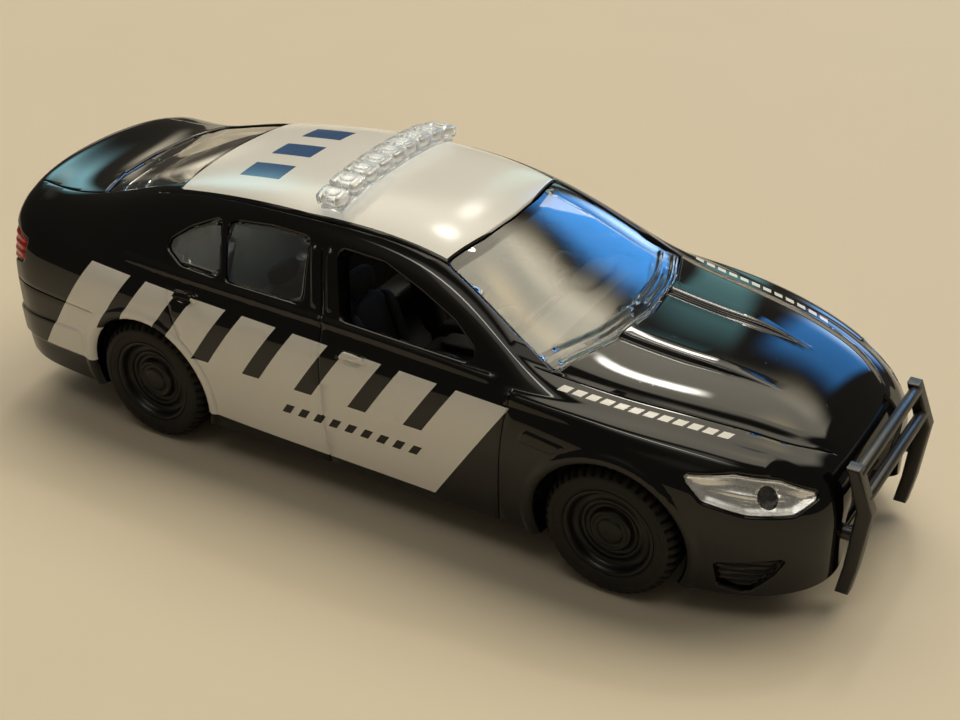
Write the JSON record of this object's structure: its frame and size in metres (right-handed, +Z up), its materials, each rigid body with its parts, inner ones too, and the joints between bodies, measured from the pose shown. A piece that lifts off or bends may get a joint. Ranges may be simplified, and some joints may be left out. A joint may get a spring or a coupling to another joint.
{
  "type": "toy police car",
  "caption": "Die-cast style toy police saloon with a clear window insert, roof light bar, front push bar and wheel sets that roll freely on their axles.",
  "frame": {"origin": "on the ground under the middle of the car's length and width", "axes": "+X towards the nose and push bar, +Y to the car's left, +Z up"},
  "size_m": [0.0804, 0.0304, 0.0257],
  "materials": {
    "body_paint": "gloss",
    "chassis_plastic": "satin",
    "cabin_plastic": "matt",
    "clear_plastic": "clear gloss",
    "light_bar_plastic": "clear gloss",
    "lamp_lens": "clear gloss",
    "red_lens": "gloss",
    "trim_plastic": "satin",
    "push_bar_plastic": "satin",
    "screw_steel": "satin",
    "axle_steel": "bright",
    "rim_plastic": "satin",
    "tyre_rubber": "matt"
  },
  "bodies": {
    "car": {"body_shell": "body_paint", "chassis_plate": "chassis_plastic", "interior_tub": "cabin_plastic", "steering_wheel": "cabin_plastic", "window_glazing": "clear_plastic", "light_bar": "light_bar_plastic", "headlight_lens_right": "lamp_lens", "headlight_lens_left": "lamp_lens", "tail_light_right": "red_lens", "tail_light_left": "red_lens", "grille_insert": "trim_plastic", "push_bar": "push_bar_plastic", "base_screws": "screw_steel"},
    "front_axle_set": {"front_axle": "axle_steel", "rim_front_right": "rim_plastic", "rim_front_left": "rim_plastic", "tyre_front_right": "tyre_rubber", "tyre_front_left": "tyre_rubber"},
    "rear_axle_set": {"rear_axle": "axle_steel", "rim_rear_right": "rim_plastic", "rim_rear_left": "rim_plastic", "tyre_rear_right": "tyre_rubber", "tyre_rear_left": "tyre_rubber"}
  },
  "joints": [
    {"name": "front_axle_spin", "type": "hinge", "parent": "car", "child": "front_axle_set", "pos_m": [0.02235, 0, 0.0056], "axis": [0, 1, 0], "continuous": true},
    {"name": "rear_axle_spin", "type": "hinge", "parent": "car", "child": "rear_axle_set", "pos_m": [-0.02235, 0, 0.0056], "axis": [0, 1, 0], "continuous": true}
  ]
}
